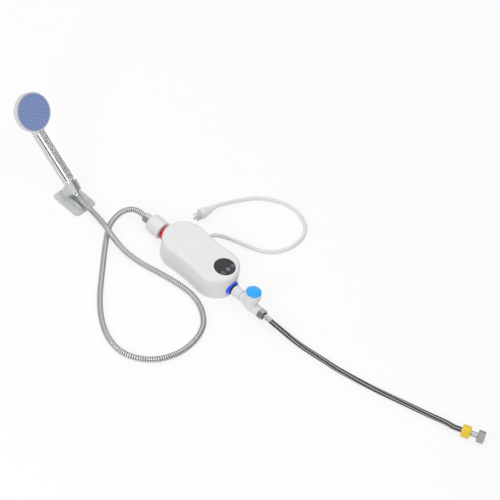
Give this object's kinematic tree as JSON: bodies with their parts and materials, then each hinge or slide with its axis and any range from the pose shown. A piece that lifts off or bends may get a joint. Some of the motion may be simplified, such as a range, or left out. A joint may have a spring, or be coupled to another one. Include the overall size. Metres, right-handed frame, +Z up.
{
  "type": "tankless electric water heater",
  "caption": "Small waisted instant water heater with display, hand shower on a ribbed hose, adhesive holder, flow valve with braided supply hose, and a corded three-pin plug.",
  "frame": {"origin": "middle of the underside of the heater housing, on the floor", "axes": "+X from the hot outlet to the cold inlet, +Y to the side where the power cord leaves, +Z up"},
  "size_m": [1.2902, 0.6248, 0.2111],
  "materials": {
    "white_plastic": "satin white moulding",
    "dark_lens": "smoked gloss",
    "green_board": "solder resist",
    "steel": "brushed",
    "cap_plastic": "natural moulding",
    "rubber": "matt",
    "element": "heat-tinted",
    "black_plastic": "matt",
    "brass": "machined",
    "relay_blue": "matt",
    "copper": "drawn",
    "blue_plastic": "gloss",
    "red_plastic": "gloss",
    "chrome": "plated",
    "hose_steel": "interlocked strip",
    "spray_blue": "satin",
    "nozzle_grey": "soft",
    "clear_grey": "translucent",
    "adhesive": "tacky gel",
    "cap_blue": "gloss",
    "dark_red": "matt",
    "braid": "black braid with light threads",
    "yellow_plastic": "gloss",
    "cord_white": "smooth jacket"
  },
  "bodies": {
    "heater": {"upper_shell": "white_plastic", "base_shell": "white_plastic", "shell_seal": "rubber", "case_screws": "steel", "display_lens": "dark_lens", "display_board": "green_board", "heating_tank": "steel", "outlet_cap": "cap_plastic", "inlet_cap": "cap_plastic", "tank_orings": "rubber", "heating_element": "element", "thermal_cutout": "black_plastic", "temperature_probe": "copper", "flow_sensor": "black_plastic", "control_board": "green_board", "power_relays": "relay_blue", "terminal_block": "cap_plastic", "cord_gland": "white_plastic", "cord_cores": "copper", "inlet_stub": "brass", "inlet_collar": "blue_plastic", "outlet_stub": "brass", "outlet_collar": "red_plastic", "port_gaskets": "rubber", "pipe_washers": "rubber", "hose_tail": "steel", "shower_hose": "hose_steel", "adhesive_pad": "adhesive", "holder_sheet": "clear_grey", "holder_block": "clear_grey", "holder_screw": "steel", "valve_tail": "cap_plastic", "valve_body": "white_plastic", "valve_seal": "rubber", "valve_bonnet": "white_plastic", "nut_ring": "dark_red", "supply_ferrule": "steel", "supply_hose": "braid", "far_ferrule": "steel", "power_cord": "cord_white", "plug_body": "white_plastic", "plug_pins": "steel"},
    "union": {"union_nut": "white_plastic"},
    "hose_coupler": {"hose_nut": "chrome"},
    "valve_coupler": {"valve_nut": "white_plastic"},
    "knob": {"valve_knob": "white_plastic", "knob_cap": "cap_blue", "knob_screw": "steel", "valve_spindle": "brass"},
    "supply_coupler": {"supply_nut": "steel"},
    "grip": {"supply_grip": "yellow_plastic"},
    "end_coupler": {"end_nut": "steel"},
    "rotor": {"flow_rotor": "cap_plastic"},
    "cone": {"cone_nut": "chrome", "cone_tail": "steel", "cone_washer": "rubber"},
    "handset": {"handset_body": "white_plastic", "handle_cover": "chrome", "spray_plate": "spray_blue", "nozzle_mat": "nozzle_grey"}
  },
  "joints": [
    {"name": "knob_turn", "type": "hinge", "parent": "heater", "child": "knob", "pos_m": [0.1646, 0, 0.0585], "axis": [0, 0, 1], "range_deg": [0, 90]},
    {"name": "union_turn", "type": "hinge", "parent": "heater", "child": "union", "pos_m": [-0.14, 0, 0.026], "axis": [1, 0, 0], "continuous": true},
    {"name": "hose_nut_turn", "type": "hinge", "parent": "heater", "child": "hose_coupler", "pos_m": [-0.168, 0, 0.026], "axis": [1, 0, 0], "continuous": true},
    {"name": "valve_nut_turn", "type": "hinge", "parent": "heater", "child": "valve_coupler", "pos_m": [0.122, 0, 0.026], "axis": [1, 0, 0], "continuous": true},
    {"name": "supply_nut_turn", "type": "hinge", "parent": "heater", "child": "supply_coupler", "pos_m": [0.1995, 0, 0.021], "axis": [1, 0, 0], "continuous": true},
    {"name": "rotor_spin", "type": "hinge", "parent": "heater", "child": "rotor", "pos_m": [0.049, 0, 0.026], "axis": [1, 0, 0], "continuous": true},
    {"name": "grip_turn", "type": "hinge", "parent": "heater", "child": "grip", "pos_m": [0.71618, 0.10731, 0.01525], "axis": [0.9135, 0.4067, 0], "continuous": true},
    {"name": "end_nut_turn", "type": "hinge", "parent": "heater", "child": "end_coupler", "pos_m": [0.74761, 0.1213, 0.01525], "axis": [0.9135, 0.4067, 0], "continuous": true},
    {"name": "cone_lift", "type": "slide", "parent": "heater", "child": "cone", "axis": [-0.829, 0, 0.5592], "range_m": [0, 0.06], "deforming": ["shower_hose"]},
    {"name": "handset_turn", "type": "hinge", "parent": "cone", "child": "handset", "pos_m": [-0.36, -0.0755, 0.048], "axis": [-0.829, 0, 0.5592], "range_deg": [-60, 60]}
  ]
}
